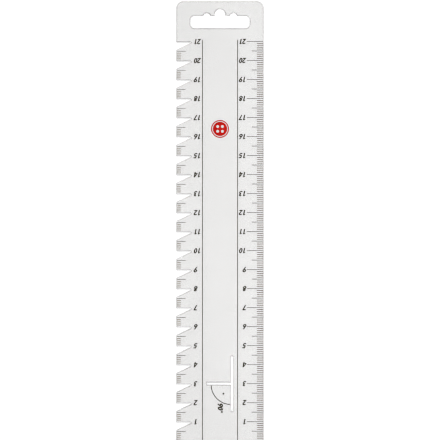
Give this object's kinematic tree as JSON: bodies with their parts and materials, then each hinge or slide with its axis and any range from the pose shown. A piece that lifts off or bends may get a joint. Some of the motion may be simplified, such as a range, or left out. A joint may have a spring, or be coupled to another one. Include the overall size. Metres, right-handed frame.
{
  "type": "sewing gauge",
  "caption": "Flat translucent plastic hand gauge with a centimetre scale on each long side, stepped notches along one edge, a T-shaped slot for marking right angles and a slot to hang it by.",
  "frame": {"origin": "middle of the underside of the plate", "axes": "+X across the plate from the toothed edge toward the straight edge; +Y along it toward the hang slot; +Z out of the printed face. The zero of both scales is at the -Y end."},
  "size_m": [0.0462, 0.2318, 0.001],
  "materials": {
    "clear_plastic": "slightly milky see-through moulded plastic, smooth and glossy, with rounded edges",
    "black_ink": "dried black screen-printing ink, satin",
    "red_ink": "dried red screen-printing ink, satin"
  },
  "bodies": {
    "root": {"gauge_plate": "clear_plastic", "edge_mm_ticks": "black_ink", "edge_5mm_ticks": "black_ink", "edge_cm_ticks": "black_ink", "edge_numerals": "black_ink", "tooth_mm_ticks": "black_ink", "tooth_5mm_ticks": "black_ink", "tooth_numerals": "black_ink", "guide_line_teeth": "black_ink", "guide_line_edge": "black_ink", "angle_arc": "black_ink", "angle_dot": "black_ink", "angle_label": "black_ink", "red_button_mark": "red_ink"}
  },
  "joints": []
}
